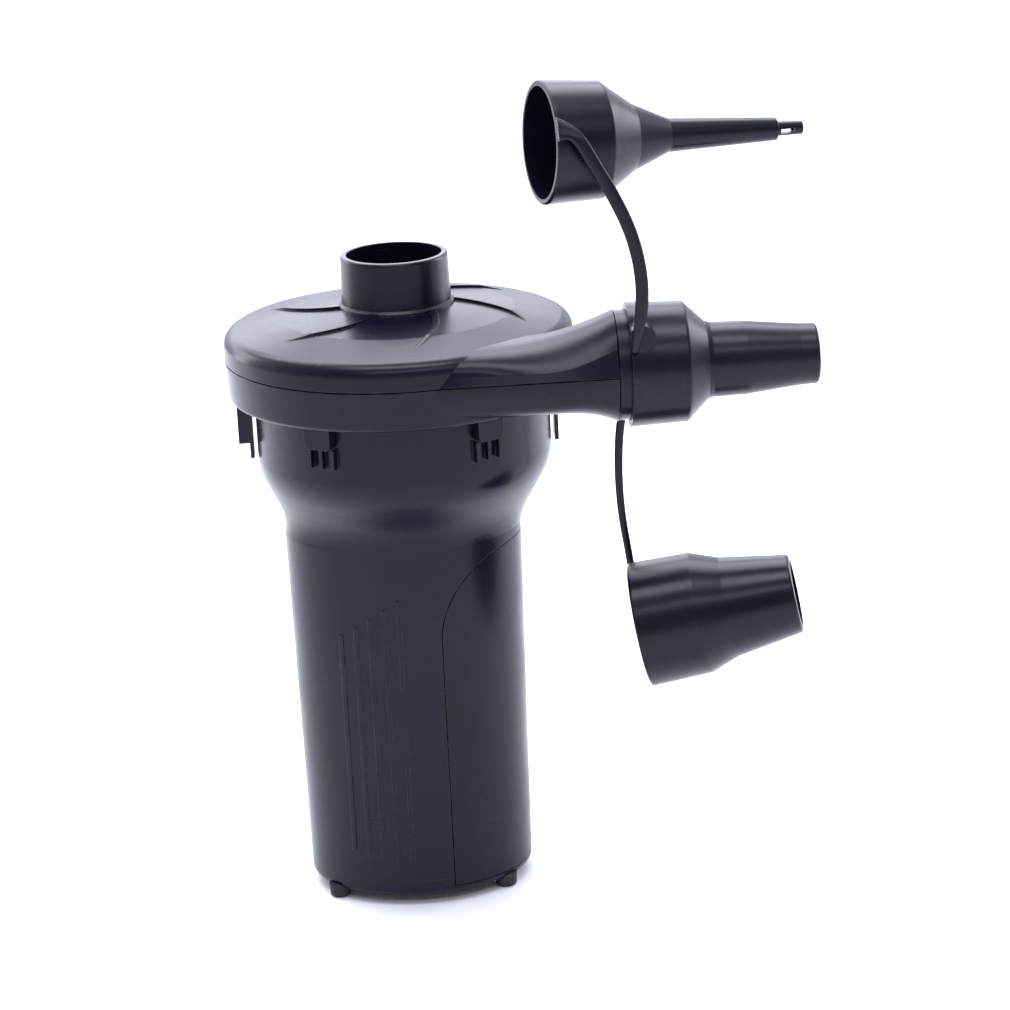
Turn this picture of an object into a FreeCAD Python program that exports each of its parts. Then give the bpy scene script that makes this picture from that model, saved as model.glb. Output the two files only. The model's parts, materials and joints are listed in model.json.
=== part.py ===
import FreeCAD, Part
import Sketcher
import math
import os

from FreeCAD import Placement, Rotation, Vector

# Battery air pump for mattresses. Millimetres. The origin is on the fan axis, on the surface the
# pump stands on. +Z points up through the intake and +X points out of the outlet.

DIMENSIONS = [
    # fan housing
    ("head_radius", 56.5, "outside radius of the fan housing"),
    ("head_bottom", 170.0, "underside of the fan housing"),
    ("seam_height", 182.8, "parting plane of the two covers, and the height of the outlet axis"),
    ("crown_edge", 191.3, "height where the side and the crown would meet if the edge were sharp"),
    ("crown_knee_radius", 38.0, "radius where the crown gets steeper"),
    ("crown_knee", 195.4, "height of the crown at the knee"),
    ("crown_top", 197.8, "height of the crown at the intake"),
    ("wall", 2.2, "wall of every moulded shell"),
    ("draft_inset", 0.9, "how much narrower the lower cover is at its foot"),
    ("intake_foot_radius", 18.6, "ring at the foot of the intake pipe"),
    ("intake_radius", 17.5, "outside radius of the intake pipe"),
    ("intake_bore", 15.4, "inside radius of the intake pipe"),
    ("grille_seat", 0.6, "how much wider the pipe is where the grille sits"),
    ("intake_top", 214.5, "top of the intake pipe and of the pump"),
    ("ridge_height", 0.9, "how far the swirl ridges stand out of the crown at the intake"),
    ("seam_gap", 0.45, "height of the shadow line between the two covers"),
    ("seam_depth", 0.8, "depth of that line"),
    # outlet
    ("outlet_offset", 38.0, "distance of the outlet axis in front of the fan axis"),
    ("outlet_radius", 17.6, "outside radius of the outlet where the covers end"),
    ("outlet_end", 66.4, "where the covers end"),
    ("sleeve_radius", 17.3, "outside radius of the sleeve that the nozzles push onto"),
    ("sleeve_bore", 15.0, "inside radius of the sleeve"),
    ("sleeve_end", 86.5, "free end of the sleeve"),
    ("neck_radius", 14.4, "outside radius of the sleeve's neck inside the covers"),
    ("neck_bore", 12.6, "inside radius of the sleeve's neck"),
    ("neck_start", 61.8, "inner end of the sleeve's neck"),
    # body
    ("cup_radius", 47.9, "outside radius of the cup under the fan housing"),
    ("shoulder_top", 150.6, "where the shoulder has become the round cup"),
    ("shoulder_foot", 123.5, "where the shoulder starts from the oval body"),
    ("body_foot", 2.9, "underside of the body, above the surface it stands on"),
    ("oval_centre", -2.1, "x of the middle of the oval body"),
    ("oval_width", 38.8, "half width of the oval body at the shoulder"),
    ("oval_depth", 32.0, "half depth of the oval body at the shoulder"),
    ("oval_taper", 1.7, "how much smaller both half sizes are at the foot"),
    ("base_thickness", 2.1, "floor of the battery body"),
    ("body_wall", 2.0, "wall of the battery body"),
    ("switch_centre", -4.0, "x of the middle of the switch, on the back of the body"),
    ("bezel_face", 33.6, "how far the face of the switch bezel is behind the fan axis"),
    ("bezel_foot", 92.0, "lower edge of the switch bezel"),
    ("bezel_height", 27.5, "height of the switch bezel"),
    # battery door
    ("door_edge", 8.0, "x of the straight edge of the door"),
    ("door_foot", 6.0, "lower edge of the door"),
    ("arch_radius", 29.0, "radius of the door's arched top"),
    ("arch_height", 91.6, "height of the centre of the arch"),
    ("door_gap", 0.3, "gap all round the door"),
    # batteries
    ("cell_radius", 16.75, "radius of a D cell"),
    ("cell_length", 60.0, "length of the can of a D cell"),
    ("cell_button", 1.5, "height of the cell's plus button"),
    ("cell_foot", 9.0, "underside of the lower cells"),
    ("cell_pitch", 33.9, "distance between the two columns of cells"),
    ("bulkhead_foot", 134.2, "underside of the plate above the batteries"),
    ("bulkhead_thickness", 1.8, "thickness of that plate"),
    # motor and fan
    ("motor_radius", 13.85, "outside radius of the motor can"),
    ("motor_length", 32.0, "length of the motor"),
    ("bell_length", 4.0, "length of the plastic end bell"),
    ("can_wall", 1.2, "wall of the motor can"),
    ("shaft_radius", 1.15, "radius of the motor shaft"),
    ("fan_radius", 42.0, "radius of the impeller"),
    ("fan_foot", 176.4, "underside of the impeller's back plate"),
    ("fan_plate", 1.6, "thickness of the impeller's back plate"),
    ("blade_height", 10.5, "height of the impeller blades"),
    ("blade_thickness", 1.2, "thickness of an impeller blade"),
    # nozzles
    ("socket_radius", 17.38, "inside radius of a nozzle collar"),
    ("collar_radius", 19.6, "outside radius of a nozzle collar at its rim"),
    ("collar_length", 18.0, "length of a nozzle collar"),
    ("collar_start", 70.4, "x of the rim of the medium nozzle"),
    ("nozzle_wall", 1.9, "wall of a nozzle"),
    ("strap_radius", 2.0, "half the width of the upper strap"),
    ("thin_strap_radius", 1.4, "half the width of the lower strap"),
]


class Size:
    """A length together with the spreadsheet formula that it comes from."""

    def __init__(self, value, formula):
        self.value = value
        self.formula = formula

    def _join(self, sign, other, value, swapped=False):
        left, right = formula_of(self), formula_of(other)
        if swapped:
            left, right = right, left
        return Size(value, "(%s %s %s)" % (left, sign, right))

    def __add__(self, other):
        return self._join("+", other, self.value + value_of(other))

    def __radd__(self, other):
        return self._join("+", other, value_of(other) + self.value, swapped=True)

    def __sub__(self, other):
        return self._join("-", other, self.value - value_of(other))

    def __rsub__(self, other):
        return self._join("-", other, value_of(other) - self.value, swapped=True)

    def __mul__(self, other):
        return self._join("*", other, self.value * value_of(other))

    def __rmul__(self, other):
        return self._join("*", other, value_of(other) * self.value, swapped=True)

    def __truediv__(self, other):
        return self._join("/", other, self.value / value_of(other))

    def __neg__(self):
        return Size(-self.value, "(0 - %s)" % self.formula)


def value_of(size):
    return size.value if isinstance(size, Size) else float(size)


def formula_of(size):
    return size.formula if isinstance(size, Size) else "%.6f" % size


class Sheet:
    """The driving dimensions as attributes, each one a Size bound to a spreadsheet cell."""

    def __init__(self, document, rows):
        table = document.addObject("Spreadsheet::Sheet", "sheet")
        for number, (alias, value, note) in enumerate(rows, start=1):
            table.set("A%d" % number, note)
            table.set("B%d" % number, "%g" % value)
            table.setAlias("B%d" % number, alias)
            setattr(self, alias, Size(value, "sheet." + alias))


doc = FreeCAD.newDocument("air_pump")
s = Sheet(doc, DIMENSIONS)
doc.recompute()

nodes = {}
AXES = {
    "X": Rotation(Vector(0, 1, 0), 90),
    "Y": Rotation(Vector(1, 0, 0), -90),
    "Z": Rotation(),
}


# ---------------------------------------------------------------- building blocks

def bind(item, name, size):
    item.setExpression(name, formula_of(size))


def place(item, at, turn=Rotation()):
    item.Placement = Placement(Vector(*[value_of(c) for c in at]), turn)
    for letter, size in zip("xyz", at):
        if isinstance(size, Size):
            bind(item, "Placement.Base." + letter, size)
    return item


def cylinder(radius, height, at, axis="Z"):
    item = doc.addObject("Part::Cylinder", "cylinder")
    bind(item, "Radius", radius)
    bind(item, "Height", height)
    return place(item, at, AXES[axis])


def box(size, at, turn=Rotation()):
    item = doc.addObject("Part::Box", "box")
    for name, length in zip(("Length", "Width", "Height"), size):
        bind(item, name, length)
    return place(item, at, turn)


def fuse(*items):
    joined = doc.addObject("Part::MultiFuse", "fuse")
    joined.Shapes = list(items)
    return joined


def cut(base, *tools):
    result = doc.addObject("Part::Cut", "cut")
    result.Base = base
    result.Tool = tools[0] if len(tools) == 1 else fuse(*tools)
    return result


def common(base, tool):
    result = doc.addObject("Part::Common", "common")
    result.Base = base
    result.Tool = tool
    return result


def group(*items):
    """Separate solids that share one node."""
    joined = doc.addObject("Part::Compound", "group")
    joined.Links = list(items)
    return joined


def tube(outer, inner, height, at, axis="Z"):
    return cut(cylinder(outer, height, at, axis), cylinder(inner, height, at, axis))


def rounded(base, radius, chosen):
    """Round the edges of a finished shape that the test picks."""
    doc.recompute()
    result = doc.addObject("Part::Fillet", "rounded")
    result.Base = base
    picked = [i for i, edge in enumerate(base.Shape.Edges, start=1) if chosen(edge)]
    if not picked:
        raise ValueError("no edge to round on " + base.Name)
    result.Edges = [(i, value_of(radius), value_of(radius)) for i in picked]
    return result


def ring_edge(radius, height):
    """Test for a round edge about the local Z axis."""
    def chosen(edge):
        curve = edge.Curve
        return (isinstance(curve, Part.Circle)
                and abs(curve.Radius - value_of(radius)) < 0.02
                and abs(curve.Center.z - value_of(height)) < 0.02)
    return chosen


def node(name, item):
    item.Label = name
    nodes[name] = item
    return item


def outline(body, name, plane, corners):
    """A closed sketch through the corners, every one of them bound to the sheet."""
    sketch = body.newObject("Sketcher::SketchObject", name)
    origin = [f for f in body.Origin.OriginFeatures if f.Role == plane][0]
    sketch.AttachmentSupport = (origin, [""])
    sketch.MapMode = "FlatFace"
    points = [Vector(value_of(x), value_of(y), 0) for x, y in corners]
    count = len(points)
    for i in range(count):
        sketch.addGeometry(Part.LineSegment(points[i], points[(i + 1) % count]), False)
    for i in range(count):
        sketch.addConstraint(Sketcher.Constraint("Coincident", i, 2, (i + 1) % count, 1))
    for i, corner in enumerate(corners):
        for kind, axis, size in (("DistanceX", -2, corner[0]), ("DistanceY", -1, corner[1])):
            if abs(value_of(size)) < 1e-9:
                sketch.addConstraint(Sketcher.Constraint("PointOnObject", i, 1, axis))
                continue
            made = sketch.addConstraint(
                Sketcher.Constraint(kind, -1, 1, i, 1, value_of(size)))
            if isinstance(size, Size):
                bind(sketch, "Constraints[%d]" % made, size)
    return sketch


def turned(name, corners, roundings=(), at=(0, 0, 0), turn=Rotation()):
    """A body turned about its local Z axis. Each rounding is (radius, ring radius, ring height)."""
    body = doc.addObject("PartDesign::Body", name)
    sketch = outline(body, name + "_profile", "XZ_Plane", corners)
    revolution = body.newObject("PartDesign::Revolution", name + "_turned")
    revolution.Profile = sketch
    revolution.ReferenceAxis = (sketch, ["V_Axis"])
    revolution.Angle = 360
    for radius, ring_radius, ring_height in roundings:
        doc.recompute()
        base = body.Tip
        wanted = ring_edge(ring_radius, ring_height)
        edges = ["Edge%d" % i for i, e in enumerate(base.Shape.Edges, start=1) if wanted(e)]
        fillet = body.newObject("PartDesign::Fillet", name + "_rounded")
        fillet.Base = (base, edges)
        bind(fillet, "Radius", radius)
    return place(body, at, turn)


def ellipse(half_long, half_short, at, turn=Rotation()):
    item = doc.addObject("Part::Ellipse", "section")
    bind(item, "MajorRadius", half_long)
    bind(item, "MinorRadius", half_short)
    return place(item, at, turn)


def loft(sections, ruled):
    item = doc.addObject("Part::Loft", "loft")
    item.Sections = sections
    item.Solid = True
    item.Ruled = ruled
    return item


def around(angles, radius, make):
    """Make the same piece at several angles about the fan axis."""
    pieces = []
    for angle in angles:
        turn = Rotation(Vector(0, 0, 1), angle)
        pieces.append(make(turn.multVec(Vector(value_of(radius), 0, 0)), turn))
    return pieces


def smooth_path(points):
    """Straight runs joined by tangent arcs, each arc as large as its two runs allow."""
    corners = [Vector(*p) for p in points]
    edges = []
    radii = []
    start = corners[0]
    for before, corner, after in zip(corners, corners[1:], corners[2:]):
        to_before = (before - corner).normalize()
        to_after = (after - corner).normalize()
        half_turn = (math.pi - to_before.getAngle(to_after)) / 2
        reach = 0.45 * min((before - corner).Length, (after - corner).Length)
        radius = reach / math.tan(half_turn)
        first = corner + to_before * reach
        last = corner + to_after * reach
        bisector = (to_before + to_after).normalize()
        middle = corner + bisector * (radius / math.cos(half_turn) - radius)
        edges.append(Part.LineSegment(start, first).toShape())
        edges.append(Part.Arc(first, middle, last).toShape())
        radii.append(radius)
        start = last
    edges.append(Part.LineSegment(start, corners[-1]).toShape())
    return Part.Wire(edges), radii


def cord(name, points, radius):
    """A round cord along a smooth path."""
    path, radii = smooth_path(points)
    first, second = Vector(*points[0]), Vector(*points[1])
    section = Part.Circle(first, second - first, value_of(radius)).toShape()
    shape = path.makePipeShell([Part.Wire([section])], True, False)
    expected = math.pi * value_of(radius) ** 2 * path.Length
    print("%s: length %.1f, bend radii %s, volume ratio %.3f" % (
        name, path.Length, ["%.1f" % r for r in radii], shape.Volume / expected))
    item = doc.addObject("Part::Feature", name + "_path")
    item.Shape = shape
    return item


# ---------------------------------------------------------------- fan covers

def crown_profile(inset, floor):
    """Half section of the upper cover's outside, or of its hollow when inset by the wall."""
    return [
        (0, floor),
        (s.head_radius - inset, floor),
        (s.head_radius - inset, s.crown_edge - inset),
        (s.crown_knee_radius, s.crown_knee - inset),
        (s.intake_foot_radius, s.crown_top - inset),
        (0, s.crown_top - inset),
    ]


def squared(angle, power):
    """Point of a unit circle whose corners fill out as the power rises above two."""
    across, along = math.cos(angle), math.sin(angle)
    return (math.copysign(abs(across) ** (2 / power), across), abs(along) ** (2 / power))


def outlet_section(x, height, crease, power, side, inset):
    """Half section of the outlet across X, above (+1) or below (-1) the seam, with a front crease."""
    seam, middle = s.seam_height.value, -s.outlet_offset.value
    width = s.outlet_radius.value - inset
    height = height - inset
    angles = [math.radians(a) for a in range(0, 181, 20)]
    rim = []
    for angle in angles:
        across, up = squared(angle, power)
        rim.append(Vector(x, middle - width * across, seam + side * height * up))
    if crease is not None:
        corner = Vector(x, middle - width + crease[0], seam + crease[1] - inset / 2)
        rim = [rim[0], corner] + rim[2:]
    front = Part.LineSegment(rim[0], rim[1]).toShape()
    if crease is None:
        bow = squared(math.radians(10), power)
        knee = Vector(x, middle - width * bow[0], seam + side * height * bow[1])
        front = Part.Arc(rim[0], knee, rim[1]).toShape()
    top = Part.BSplineCurve()
    top.interpolate(rim[1:])
    base = Part.LineSegment(rim[-1], rim[0]).toShape()
    return Part.Wire([front, top.toShape(), base])


def outlet_form(name, sections, side, inset):
    """A solid through the half sections, each one (x, height, crease, power)."""
    wires = [outlet_section(*section, side, inset) for section in sections]
    item = doc.addObject("Part::Feature", name)
    item.Shape = Part.makeLoft(wires, True, False)
    return item


def fairing_sections():
    """The upper half rises out of the crown with a sharp front crease that dies out at the end."""
    end, radius = s.outlet_end.value, s.outlet_radius.value
    return [(4, 9.0, (1.4, 3.4), 2.4), (14, 9.8, (0.7, 3.7), 3), (24, 10.0, (0.2, 3.6), 3),
            (36, 9.9, (0.0, 3.4), 2.4), (49, 11.6, (0.1, 3.8), 2), (58, 14.2, (0.9, 6.0), 2),
            (end, radius, (radius * (1 - math.cos(math.radians(31))),
                           radius * math.sin(math.radians(31))), 2)]


def trough_sections():
    """The lower half is level with the drum, then flares to the round end."""
    level = s.seam_height.value - s.head_bottom.value - 0.3
    return [(4, level, None, 3.4), (22, level, None, 3.4), (36, level, None, 3.4),
            (49, level + 0.3, None, 3.0), (58, level + 1.7, None, 2.4),
            (s.outlet_end.value, s.outlet_radius.value, None, 2)]


def swirl_ridges():
    """Six curved ridges that sweep from the intake towards the rim, where they sink into the crown."""
    skin = turned("ridge_skin", [
        (0, s.seam_height),
        (s.head_radius - 3, s.seam_height),
        (s.head_radius - 4, s.crown_edge),
        (s.crown_knee_radius, s.crown_knee + s.ridge_height * 0.8),
        (s.intake_foot_radius, s.crown_top + s.ridge_height),
        (0, s.crown_top + s.ridge_height),
    ])
    walls = []
    sweep = math.radians(-36)
    inner, outer = s.intake_foot_radius.value, s.head_radius.value - 6.0
    for start in range(6):
        left, right = [], []
        for step in range(7):
            share = step / 6
            radius = inner + (outer - inner) * share
            angle = math.radians(5 + 60 * start) + sweep * share
            half = (1.5 - 1.1 * share) / radius
            left.append(Vector(radius * math.cos(angle - half), radius * math.sin(angle - half), 0))
            right.append(Vector(radius * math.cos(angle + half), radius * math.sin(angle + half), 0))
        sides = [Part.BSplineCurve(), Part.BSplineCurve()]
        sides[0].interpolate(left)
        sides[1].interpolate(right[::-1])
        rim = Part.Wire([
            sides[0].toShape(),
            Part.LineSegment(left[-1], right[-1]).toShape(),
            sides[1].toShape(),
            Part.LineSegment(right[0], left[0]).toShape(),
        ])
        wall = doc.addObject("Part::Feature", "ridge_wall")
        wall.Shape = Part.Face(rim).extrude(Vector(0, 0, 60))
        walls.append(place(wall, (0, 0, s.seam_height + 4)))
    return common(fuse(*walls), skin)


def screw_places():
    return (25, 95, 155, 215)


def sleeve_neck():
    """The round seat in both covers for the neck of the outlet sleeve."""
    return cylinder(s.neck_radius + 0.05, 20, (s.neck_start, -s.outlet_offset, s.seam_height), "X")


def seam_line():
    """The shadow line round the foot of the upper cover, as the space that it leaves."""
    slab = box((140, 130, s.seam_gap), (-70, -75, s.seam_height))
    drum_core = cylinder(s.head_radius - s.seam_depth, 4, (0, 0, s.seam_height - 2))
    outlet_core = outlet_form("seam_core", fairing_sections(), 1, s.seam_depth.value)
    return cut(slab, drum_core, outlet_core)


def upper_cover():
    drum = turned("crown", crown_profile(0, s.seam_height),
                  roundings=[(4.6, s.head_radius, s.crown_edge)])
    intake = turned("intake_pipe", [
        (0, s.crown_top - 4),
        (s.intake_foot_radius, s.crown_top - 4),
        (s.intake_foot_radius, s.crown_top + 0.6),
        (s.intake_radius + 0.2, s.crown_top + 1.4),
        (s.intake_radius - 0.2, s.intake_top),
        (0, s.intake_top),
    ], roundings=[(0.9, s.intake_radius - 0.2, s.intake_top)])
    fairing = outlet_form("fairing", fairing_sections(), 1, 0)
    outside = fuse(drum, intake, fairing, swirl_ridges())
    hollow = turned("crown_hollow", crown_profile(s.wall, s.seam_height))
    passage = outlet_form("fairing_passage", fairing_sections()[3:], 1, s.wall.value)
    bore = cylinder(s.intake_bore, 40, (0, 0, s.crown_top - 20))
    seat = cylinder(s.intake_bore + s.grille_seat, 20, (0, 0, s.crown_top + 1.1 - 20))
    shell = cut(outside, hollow, passage, bore, seat, sleeve_neck(), seam_line())
    bosses = around(screw_places(), 50.4, lambda at, turn: cut(
        cylinder(2.9, 7.6, (at.x, at.y, s.seam_height)),
        cylinder(1.25, 6, (at.x, at.y, s.seam_height))))
    node("upper_volute_cover", fuse(shell, *bosses))


def lower_cover():
    foot_radius = s.head_radius - s.draft_inset
    drum = turned("drum", [
        (0, s.head_bottom),
        (foot_radius, s.head_bottom),
        (s.head_radius, s.seam_height),
        (0, s.seam_height),
    ], roundings=[(1.8, foot_radius, s.head_bottom)])
    trough = outlet_form("trough", trough_sections(), -1, 0)
    hollow = turned("drum_hollow", [
        (0, s.head_bottom + s.wall),
        (foot_radius - s.wall, s.head_bottom + s.wall),
        (s.head_radius - s.wall, s.seam_height),
        (0, s.seam_height),
    ])
    passage = outlet_form("trough_passage", trough_sections()[2:], -1, s.wall.value)
    motor_hole = cylinder(s.motor_radius + 0.2, 10, (0, 0, s.head_bottom - 4))
    shell = cut(fuse(drum, trough), hollow, passage, sleeve_neck(), motor_hole)
    lip = tube(s.cup_radius - s.wall - 0.3, s.cup_radius - s.wall - 2.3, 5,
               (0, 0, s.head_bottom - 5))
    posts = around(screw_places(), 50.4, lambda at, turn: cylinder(
        2.9, s.seam_height - s.head_bottom - 1, (at.x, at.y, s.head_bottom + 1)))
    holes = around(screw_places(), 50.4, lambda at, turn: fuse(
        cylinder(1.3, 20, (at.x, at.y, s.head_bottom - 1)),
        cylinder(2.3, 2.6, (at.x, at.y, s.head_bottom - 1))))
    plate_holes = around((60, 180, 300), 18.5, lambda at, turn: cylinder(
        1.25, 8, (at.x, at.y, s.head_bottom - 3)))
    node("lower_volute_cover", cut(fuse(shell, lip, *(posts + snap_blocks())),
                                   *(holes + plate_holes)))


SHORT_SNAPS = (-123, -59, 59, 123)


def snap(angle, inner, outer, drop, rounding):
    """A block under the fan housing, with its two lower corners rounded."""
    turn = Rotation(Vector(0, 0, 1), angle)
    corner = turn.multVec(Vector(inner, -4.7, 0))
    block = box((outer - inner, 9.4, drop + 1.5), (corner.x, corner.y, s.head_bottom - drop), turn)
    low = s.head_bottom.value - drop

    def lower_corner(edge):
        return edge.BoundBox.ZMax < low + 0.01 and edge.Length < outer - inner + 0.01
    return rounded(block, rounding, lower_corner)


def snap_blocks():
    """Four short blocks, and a tongue on each side that hooks over the cup, one with a thumb pad."""
    blocks = [snap(angle, s.cup_radius.value + 0.3, 51.6, 7.4, 1.6) for angle in SHORT_SNAPS]
    blocks += [snap(angle, 48.9, 50.2, 19.9, 0.6) for angle in (0, 180)]
    blocks.append(snap(180, 50.0, 53.7, 15.0, 1.2))
    return blocks


def snap_ribs():
    """Three ribs on the cup under each short block."""
    ribs = []
    root = s.cup_radius.value - 1.0
    for angle in SHORT_SNAPS:
        turn = Rotation(Vector(0, 0, 1), angle)
        for side in (-4.7, -0.5, 3.7):
            corner = turn.multVec(Vector(root, side, 0))
            ribs.append(box((3.0, 1.0, 6.4), (corner.x, corner.y, s.head_bottom - 14.1), turn))
    return ribs


def outlet_sleeve():
    neck_length = s.outlet_end - s.neck_start + 0.3
    length = s.sleeve_end - s.neck_start
    node("outlet_sleeve", turned("sleeve", [
        (s.neck_bore, 0),
        (s.neck_radius, 0),
        (s.neck_radius, neck_length),
        (s.sleeve_radius, neck_length),
        (s.sleeve_radius, length),
        (s.sleeve_bore, length),
        (s.sleeve_bore, neck_length + 2),
        (s.neck_bore, neck_length),
    ], roundings=[(0.7, s.sleeve_radius, length)],
        at=(s.neck_start, -s.outlet_offset, s.seam_height), turn=AXES["X"]))


def intake_grille():
    foot = s.crown_top - 1.0
    outer = s.intake_bore + s.grille_seat - 0.05
    ring = tube(outer, s.intake_bore - 1.6, 2, (0, 0, foot))
    middle = tube(8.0, 6.6, 2, (0, 0, foot))
    hub = cylinder(2.2, 2, (0, 0, foot))
    spokes = []
    for angle in range(0, 360, 60):
        turn = Rotation(Vector(0, 0, 1), angle)
        corner = turn.multVec(Vector(1.5, -0.7, 0))
        spokes.append(box((s.intake_bore - 2.5, 1.4, 2), (corner.x, corner.y, foot), turn))
    node("intake_grille", fuse(ring, middle, hub, *spokes))


def cover_screws():
    screws = around(screw_places(), 50.4, lambda at, turn: fuse(
        cylinder(1.25, 16, (at.x, at.y, s.head_bottom + 1.2)),
        cylinder(2.2, 1.4, (at.x, at.y, s.head_bottom + 0.1))))
    node("cover_screws", group(*screws))


# ---------------------------------------------------------------- body

def oval(height, inset, share=0.0):
    """Outline of the body at a height. The share goes from the oval (0) to the round cup (1)."""
    blend = (1 - math.cos(math.pi * share)) / 2
    taper = 0
    if share == 0:
        taper = s.oval_taper * ((s.shoulder_foot - height) / (s.shoulder_foot - s.body_foot))
    width = (s.oval_width - taper) * (1 - blend) + s.cup_radius * blend - inset
    depth = (s.oval_depth - taper) * (1 - blend) + s.cup_radius * blend - inset
    return ellipse(width, depth, (s.oval_centre * (1 - share) ** 3, 0, height))


def shoulder_share(height):
    return (value_of(height) - s.shoulder_foot.value) / (s.shoulder_top - s.shoulder_foot).value


def shoulder_sections(inset):
    steps = 6
    heights = [s.shoulder_foot + (s.shoulder_top - s.shoulder_foot) * (step / steps)
               for step in range(steps + 1)]
    return [oval(height, inset, step / steps) for step, height in enumerate(heights)]


def body_form(inset, foot):
    """The solid form of the body: straight oval, shoulder and cup."""
    straight = loft([oval(foot, inset), oval(s.shoulder_foot, inset)], True)
    shoulder = loft(shoulder_sections(inset), False)
    cup = cylinder(s.cup_radius - inset, s.head_bottom - s.shoulder_top - 0.2,
                   (0, 0, s.shoulder_top))
    return straight, shoulder, cup


def at_foot(edge):
    return edge.BoundBox.ZMax < s.body_foot.value + 0.01


def door_space(gap):
    """The arch-topped space of the battery door, grown by the gap."""
    left = s.door_edge - gap
    low = s.door_foot - gap
    middle = s.door_edge + s.arch_radius
    radius = s.arch_radius + gap
    lower = box((60, 90, s.arch_height - low), (left, -45, low))
    upper = box((60, 90, radius), (middle, -45, s.arch_height))
    arch = cylinder(radius, 90, (middle, -45, s.arch_height), "Y")
    return fuse(lower, upper, arch)


def front_ribs():
    """Five faint upright ribs with a slanting top on the front of the body."""
    skin = loft([oval(s.body_foot, -0.25), oval(s.shoulder_foot, -0.25)], True)
    bars = []
    for number in range(5):
        foot = 19.0 - 1.45 * number
        top = 94.9 + 3.1 * number
        bars.append(box((1.3, 24, top - foot), (-25.4 + 4.75 * number, -44, foot)))
    return common(fuse(*bars), skin)


def body_shell():
    straight, shoulder, cup = body_form(0, s.body_foot)
    foot_rounded = rounded(straight, 3, at_foot)
    hollow = body_form(s.body_wall, s.body_foot + s.base_thickness)
    outside = fuse(foot_rounded, shoulder, cup, front_ribs(), *snap_ribs())
    shell = cut(outside, *hollow)
    pocket = box((14.4, 9, 23.0), (s.switch_centre - 7.2, 26, s.bezel_foot + 2.0))
    node("body_shell", cut(shell, door_space(s.door_gap), pocket))


def battery_door():
    outer = loft([oval(s.body_foot, 0), oval(s.shoulder_foot, 0)], True)
    inner = loft([oval(s.body_foot, s.body_wall), oval(s.shoulder_foot, s.body_wall)], True)
    node("battery_door", common(cut(outer, inner), door_space(0)))


def rubber_feet():
    """Four rounded feet. Each one is cut to the underside of the body where it meets it."""
    places = (("front_left", -30.4, -16.6), ("front_right", 25.2, -17.2),
              ("back_left", -30.4, 16.6), ("back_right", 25.2, 17.2))
    for name, x, y in places:
        foot = turned("rubber_foot_" + name, [
            (0, 0), (3.4, 0), (3.7, s.body_foot + 1.6), (0, s.body_foot + 1.6),
        ], roundings=[(1.0, 3.4, 0)], at=(x, y, 0))
        node("foot_" + name, cut(foot, nodes["body_shell"]))


# ---------------------------------------------------------------- switch and label

def switch():
    """A slide switch in a bezel on the back of the body."""
    straight = body_form(0, s.body_foot)[0]
    foot, face, middle = s.bezel_foot, s.bezel_face, s.switch_centre
    plate = box((18, 5, s.bezel_height), (middle - 9, face - 5, foot))
    collar = box((13.6, 3, 22.2), (middle - 6.8, face - 3, foot + 2.4))
    window = box((11, 8, 17.5), (middle - 5.5, face - 7, foot + 5))

    def corner(edge):
        size = edge.BoundBox
        return size.YLength > 4 and size.XLength < 0.1 and size.ZLength < 0.1
    node("switch_bezel", cut(fuse(cut(rounded(plate, 2.0, corner), straight), collar), window))
    case = box((14, 3.4, 22.6), (middle - 7, face - 6.4, foot + 2.2))
    cavity = box((7, 2.4, 18.5), (middle - 3.5, face - 5.4, foot + 4.2))
    node("switch_body", cut(case, cavity))
    knob = box((10.4, 1.1, 10), (middle - 5.2, face - 1, foot + 5.5))
    stem = box((6, 4.2, 6), (middle - 3, face - 5.1, foot + 7.5))
    ridges = [box((10.4, 0.4, 0.9), (middle - 5.2, face, foot + 6.9 + 2.2 * n)) for n in range(4)]
    node("switch_slider", fuse(knob, stem, *ridges))
    node("switch_terminals", group(*[box((2.2, 0.5, 2.6), (middle + x, face - 5, foot + 24.8))
                                     for x in (-4.6, 2.4)]))


def rating_plate():
    """A thin blank plate that follows the back of the body under the switch."""
    skin = loft([oval(s.body_foot, -0.3), oval(s.shoulder_foot, -0.3)], True)
    core = loft([oval(s.body_foot, 0), oval(s.shoulder_foot, 0)], True)
    blank = box((22.5, 12, 38), (s.switch_centre - 13.5, 24, 46))
    node("rating_plate", cut(common(blank, skin), core))


# ---------------------------------------------------------------- batteries

def cell_places():
    half = s.cell_pitch / 2
    step = s.cell_length + s.cell_button
    return [("left_lower", s.oval_centre - half, s.cell_foot, True),
            ("left_upper", s.oval_centre - half, s.cell_foot + step, True),
            ("right_lower", s.oval_centre + half, s.cell_foot, False),
            ("right_upper", s.oval_centre + half, s.cell_foot + step, False)]


def battery_cells():
    """Two columns of D cells in series: the left one points up and the right one down."""
    length = s.cell_length + s.cell_button
    for name, x, foot, upright in cell_places():
        cell = turned("cell_" + name, [
            (0, 0),
            (s.cell_radius - 2.5, 0),
            (s.cell_radius - 2.5, 0.4),
            (s.cell_radius, 0.4),
            (s.cell_radius, s.cell_length - 0.6),
            (s.cell_radius - 3, s.cell_length),
            (4.75, s.cell_length),
            (4.75, length),
            (0, length),
        ], roundings=[(1.0, s.cell_radius, 0.4)])
        if upright:
            place(cell, (x, 0, foot))
        else:
            place(cell, (x, 0, foot + length), Rotation(Vector(1, 0, 0), 180))
        node("battery_cell_" + name, cell)


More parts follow.
